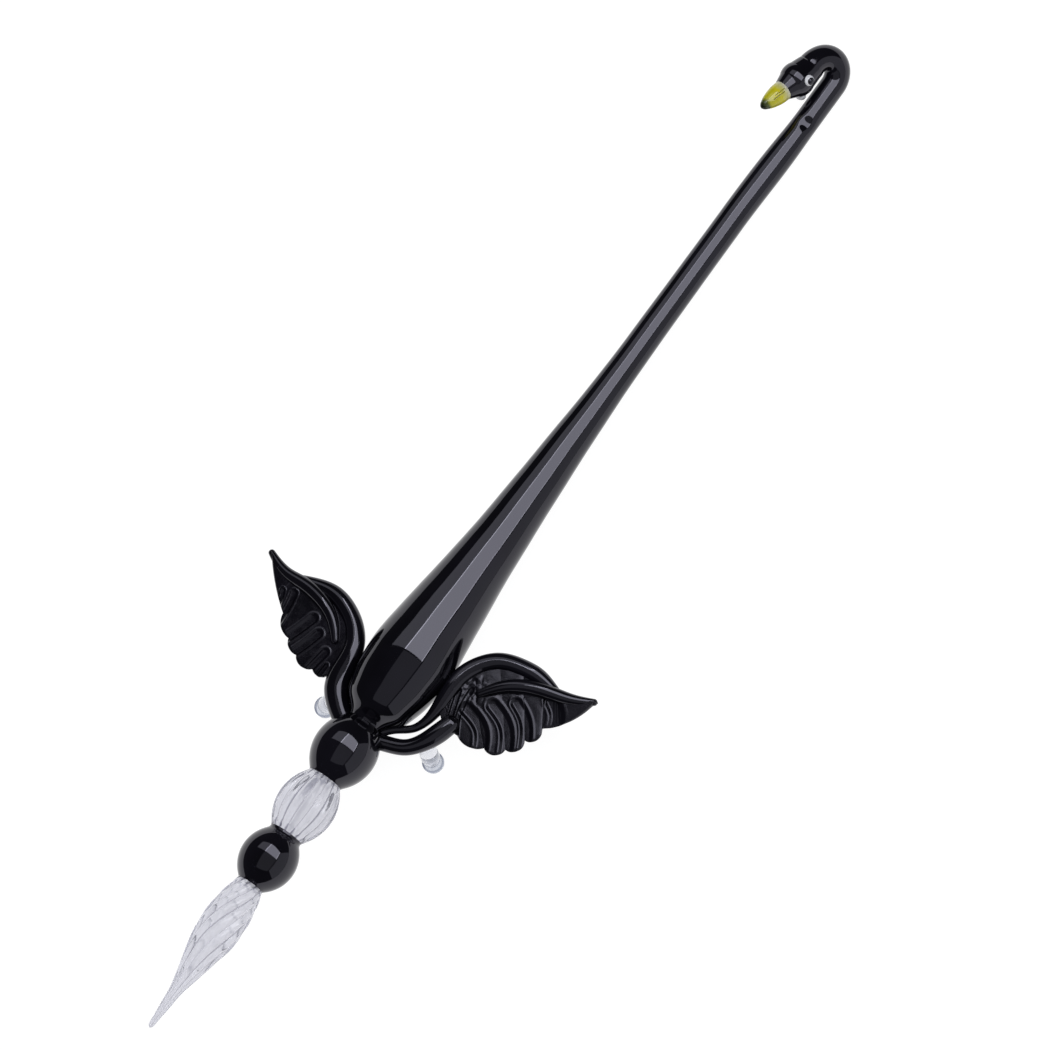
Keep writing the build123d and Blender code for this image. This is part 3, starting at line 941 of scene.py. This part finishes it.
def make_wings():
    """Both wings: the cane that becomes the rolled front, the fold that runs to the tip, the blade."""
    for side, wing in WINGS.items():
        spine = (wing["spine"], wing["spine_radii"], wing["spine_heights"])
        path, radii, shares = cane_path(*spine, SPINE_RINGS)
        joint = round(shares[SPINE_JOINT] * (len(path) - 1))
        stem = swept_cane(side + "_wing_cane", path[:joint + 1], radii[:joint + 1], (True, False))
        roll = swept_cane(side + "_wing_roll", path[joint:], radii[joint:], (False, True))
        fold_path, fold_radii, _ = cane_path(wing["fold"], wing["fold_radii"], FOLD_HEIGHTS, CANE_RINGS)
        fold = swept_cane(side + "_wing_fold", fold_path, fold_radii)
        stem_node = "right_wing_inner_strand" if side == "right" else "left_wing_stem"
        place(stem, [stem_node], WING_GLASS, "black_glass")
        place(roll, [side + "_wing_leading_roll"], WING_GLASS, "black_glass")
        place(fold, [side + "_wing_ridge"], WING_GLASS, "black_glass")
        past_roll = np.searchsorted(np.abs(fold_path[:, 1]), abs(path[-1, 1]))
        make_blade(side, wing, np.concatenate([path[joint:, :2], fold_path[past_roll:, :2]]))
    outer_stem = (OUTER_STEM, OUTER_STEM_RADII, OUTER_STEM_HEIGHTS)
    outer_path, outer_radii, _ = cane_path(*outer_stem, CANE_RINGS)
    outer = swept_cane("right_wing_cane_outer", outer_path, outer_radii)
    place(outer, ["right_wing_stem"], WING_GLASS, "black_glass")


# ---------------------------------------------------------------------------------------------
# Legs and feet
# ---------------------------------------------------------------------------------------------
LEG_TOPS = {"left": (59.9, 6.3, -1.0), "right": (61.3, -9.6, -1.0)}
LEG_SHARES = (0, 0.5, 0.85, 1)
LEG_RADII = (1.15, 1.5, 1.38, 1.1)
LEG_RINGS = 50
LEG_AROUND = 64
LEG_IN_PAD = 0.9

# Foot pads: how much narrower they are at the top and bottom and how square their side is, then
# the heights of the side and of the nearly flat top as shares of the thickness, and the top's
# radii. Painted shade lies along the rim, and a painted dark middle stands for the leg seen through the
# glass.
PAD_NARROWING = 0.16
PAD_SQUARENESS = 4
PAD_SIDE_HEIGHTS = (0, 0.995)
PAD_TOP_HEIGHTS = (0.9951, 1)
PAD_TOP_RADII = (0.98, 0.03)
PAD_SIDE_RINGS = 30
PAD_TOP_RINGS = 20
PAD_AROUND = 72
PAD_RIM_SHADE = (0.8, 0.9)
PAD_SEEN_LEG_SHADE = (0.08, 0.22)
PAD_SEEN_LEG_STRENGTH = 1.2
TO_FRAME = Matrix.Scale(MM, 4)


def make_leg(side, start, end):
    """Clear leg that swells below the wing and sinks into its foot pad."""
    share = np.linspace(0, 1, LEG_RINGS)
    radii = cubic(LEG_SHARES, LEG_RADII, share)
    rings = tube_rings(start + np.outer(share, end - start), radii, LEG_AROUND, up=(0, 1, 0))
    leg = skin(side + "_leg_glass", rings, TO_FRAME)
    write_values(leg, SHADE_LINE_ATTRIBUTE, np.zeros((LEG_RINGS, LEG_AROUND)))
    place(leg, [side + "_leg"], LEG_GLASS, "clear_glass")


def make_pad(side, centre, radius, thickness):
    """Flattened round foot, with a shade line attribute that paints shade on its rim and a dark middle for
    the leg seen through it.
    """
    side_heights = np.linspace(*PAD_SIDE_HEIGHTS, PAD_SIDE_RINGS)
    heights = np.append(side_heights, np.linspace(*PAD_TOP_HEIGHTS, PAD_TOP_RINGS))
    profile = radius * (1 - PAD_NARROWING * np.abs(2 * heights - 1) ** PAD_SQUARENESS)
    profile[PAD_SIDE_RINGS:] *= np.linspace(*PAD_TOP_RADII, PAD_TOP_RINGS)
    reach = profile / radius
    # Painted shade at the rim, and a painted dark middle for the leg seen through the glass
    middle = PAD_SEEN_LEG_STRENGTH * (1 - smoothstep(*PAD_SEEN_LEG_SHADE, reach))
    shade_lines = smoothstep(*PAD_RIM_SHADE, reach) + middle
    path = [np.array([centre[0], centre[1], h * thickness]) for h in heights]
    pad = skin(side + "_foot_glass", tube_rings(path, profile, PAD_AROUND, up=(0, 1, 0)), TO_FRAME)
    write_values(pad, SHADE_LINE_ATTRIBUTE, np.repeat(shade_lines[:, None], PAD_AROUND, axis=1))
    place(pad, [side + "_foot_pad"], FOOT_GLASS, "clear_glass")


def make_legs():
    """Clear legs and the feet that stand on the table, placed by the boxes of the CAD pads."""
    for side, top in LEG_TOPS.items():
        low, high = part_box(side + "_foot_pad")
        centre = (np.array(low) + np.array(high)) / 2 / MM
        thickness = (high[2] - low[2]) / MM
        start = np.array(PEN @ Vector(top)) / MM
        make_leg(side, start, np.array([centre[0], centre[1], thickness * LEG_IN_PAD]))
        make_pad(side, centre, (high[0] - low[0]) / 2 / MM, thickness)


# ---------------------------------------------------------------------------------------------
# Camera, floor and light
# ---------------------------------------------------------------------------------------------
CAMERA_TO_NIB = math.radians(10)
CAMERA_TO_RIGHT = math.radians(16)
CAMERA_ROLL = math.radians(54.74)
CAMERA_DISTANCE = 3.0
SENSOR_WIDTH = 36
VIEW_WIDTH = 0.1644
LOOK_AT = (99.0, -2.7, 0)


def make_camera():
    """Camera nearly overhead, tipped towards the nib and the swan's right, pen on a diagonal."""
    turn = Matrix.Rotation(REST_SLOPE, 3, "Y")
    back = Vector((
        -math.sin(CAMERA_TO_NIB),
        -math.sin(CAMERA_TO_RIGHT) * math.cos(CAMERA_TO_NIB),
        math.cos(CAMERA_TO_RIGHT) * math.cos(CAMERA_TO_NIB),
    ))
    along = (Vector((1, 0, 0)) - back * back.x).normalized()
    across = along.cross(back)
    right = math.cos(CAMERA_ROLL) * along + math.sin(CAMERA_ROLL) * across
    up = math.sin(CAMERA_ROLL) * along - math.cos(CAMERA_ROLL) * across
    axes = turn @ Matrix((right, up, back)).transposed()
    data = bpy.data.cameras.new("camera")
    data.sensor_width = SENSOR_WIDTH
    data.lens = data.sensor_width * CAMERA_DISTANCE / VIEW_WIDTH
    camera = bpy.data.objects.new("camera", data)
    camera_place = PEN @ Vector(LOOK_AT) + turn @ back * CAMERA_DISTANCE
    camera.matrix_world = Matrix.Translation(camera_place) @ axes.to_4x4()
    bpy.context.scene.collection.objects.link(camera)
    bpy.context.scene.camera = camera


FLOOR_HALF = 1.6


def make_floor():
    """Plain pale floor. It glows, so that hardly any shadow shows on it."""
    half = FLOOR_HALF
    corners = [(-half, -half, 0), (half, -half, 0), (half, half, 0), (-half, half, 0)]
    floor = make_object("floor", corners, [(0, 1, 2, 3)], Matrix.Identity(4))
    material, tree, shader = new_material("floor_white", (0.15, 0.15, 0.152), roughness=0.9)
    grain = pen_noise(tree, stretch=1, scale=40, detail=2)
    add_roughness(tree, shader, grain, low=0.85, high=0.95)
    shader.inputs["Emission Color"].default_value = (1, 1, 1, 1)
    shader.inputs["Emission Strength"].default_value = 0.95
    floor.data.materials.append(material)


def area_light(name, place_at, target, size, energy, mirrored=True):
    """Rectangular light that faces a target. It either shows in reflections or lights the scene."""
    data = bpy.data.lights.new(name, "AREA")
    data.shape = "RECTANGLE"
    data.size, data.size_y = size
    data.energy = energy
    data.color = (0.95, 0.965, 1.0)
    light = bpy.data.objects.new(name, data)
    light.location = place_at
    aim = Vector(target) - Vector(place_at)
    light.rotation_euler = aim.to_track_quat("-Z", "Y").to_euler()
    light.visible_glossy = mirrored
    light.visible_diffuse = not mirrored
    light.visible_camera = False
    light.visible_transmission = False
    bpy.context.scene.collection.objects.link(light)


SOFTBOX_PLACE = (0.30, -0.20, 0.60)
SOFTBOX_SIZE = (0.40, 0.68)
SOFTBOX_POWER = 3.4
SOFTBOX_EDGE = 0.022
SOFTBOX_EDGE_POWER = 0.22
SOFTBOX_EDGE_DROP = 0.001

# Other panels: centre, point that it faces, length and width, and power
PANELS = {
    "nib_panel": ((-0.22, -0.20, 0.60), (-0.22, -0.20, 0), (0.60, 0.68), 0.42),
    "left_panel": ((0.30, 0.42, 0.60), (0.30, 0.42, 0), (0.40, 0.56), 0.75),
    "right_panel": ((0.1, -1.1, 0.55), (0.1, 0, 0.55), (1.8, 1.05), 3.6),
}
FILL = ((0.0, 0.0, 1.3), (0, 0, 0), (1.6, 1.6), 17.0)


def make_light():
    """Softbox with brighter long sides, dim panels over the nib and to both sides, and a fill."""
    centre = Vector(SOFTBOX_PLACE)
    below = (centre.x, centre.y, 0)
    length, width = SOFTBOX_SIZE
    area_light("softbox", centre, below, SOFTBOX_SIZE, SOFTBOX_POWER)
    for name, side in (("softbox_left_edge", 1), ("softbox_right_edge", -1)):
        edge = centre + Vector((0, side * (width - SOFTBOX_EDGE) / 2, -SOFTBOX_EDGE_DROP))
        area_light(name, edge, (edge.x, edge.y, 0), (length, SOFTBOX_EDGE), SOFTBOX_EDGE_POWER)
    for name, panel in PANELS.items():
        area_light(name, *panel)
    area_light("fill", *FILL, mirrored=False)
    world = bpy.data.worlds.new("studio")
    world.use_nodes = True
    background = world.node_tree.nodes["Background"]
    background.inputs["Color"].default_value = (0.9, 0.92, 1.0, 1)
    background.inputs["Strength"].default_value = 0.05
    bpy.context.scene.world = world
    bpy.context.scene.view_settings.view_transform = "Standard"


def main():
    make_nib()
    make_knobs()
    make_body()
    make_hook()
    make_head()
    make_beak()
    make_eyes()
    make_wings()
    make_legs()
    make_camera()
    make_floor()
    make_light()


main()
